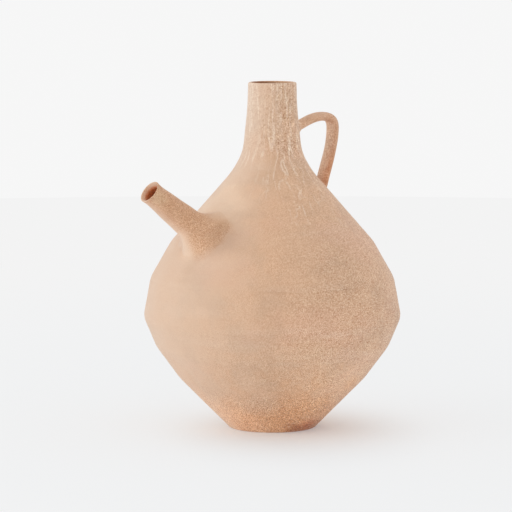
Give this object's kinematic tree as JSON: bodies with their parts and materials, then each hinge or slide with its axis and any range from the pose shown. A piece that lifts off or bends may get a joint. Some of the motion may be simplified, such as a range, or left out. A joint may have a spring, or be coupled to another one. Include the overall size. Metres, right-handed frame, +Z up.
{
  "type": "spouted jug",
  "caption": "Tall-necked terracotta jug with a straight-banded body, a tapered tube spout on the shoulder and a strap handle behind the neck, for keeping and pouring water.",
  "frame": {"origin": "middle of the base disc's underside, on the jug's axis", "axes": "+Z up along the jug's axis, -X towards the spout, +X towards the handle; the jug is symmetric about the XZ plane"},
  "size_m": [0.2775, 0.257, 0.345],
  "materials": {
    "body_clay": "matt unglazed fired clay with a fine sandy grain",
    "foot_clay": "matt unglazed fired clay, redder towards the base",
    "neck_clay": "matt unglazed fired clay with a pale bloom and fine pale runs",
    "spout_clay": "matt unglazed fired clay",
    "handle_clay": "matt unglazed fired clay",
    "luting_clay": "matt fired luting clay, smeared by hand"
  },
  "bodies": {
    "root": {"base_coil": "luting_clay", "base_disc": "foot_clay", "belly_band": "body_clay", "foot_band": "foot_clay", "foot_coil": "luting_clay", "handle_neck_pad": "luting_clay", "handle_shoulder_pad": "luting_clay", "handle_strap": "handle_clay", "lower_band": "body_clay", "lower_coil": "luting_clay", "neck": "neck_clay", "neck_foot_band": "body_clay", "neck_foot_coil": "luting_clay", "shoulder_band": "body_clay", "shoulder_coil": "luting_clay", "spout_collar": "luting_clay", "spout_tube": "spout_clay", "under_belly_band": "body_clay", "under_belly_coil": "luting_clay", "upper_belly_band": "body_clay", "upper_belly_coil": "luting_clay"}
  },
  "joints": []
}
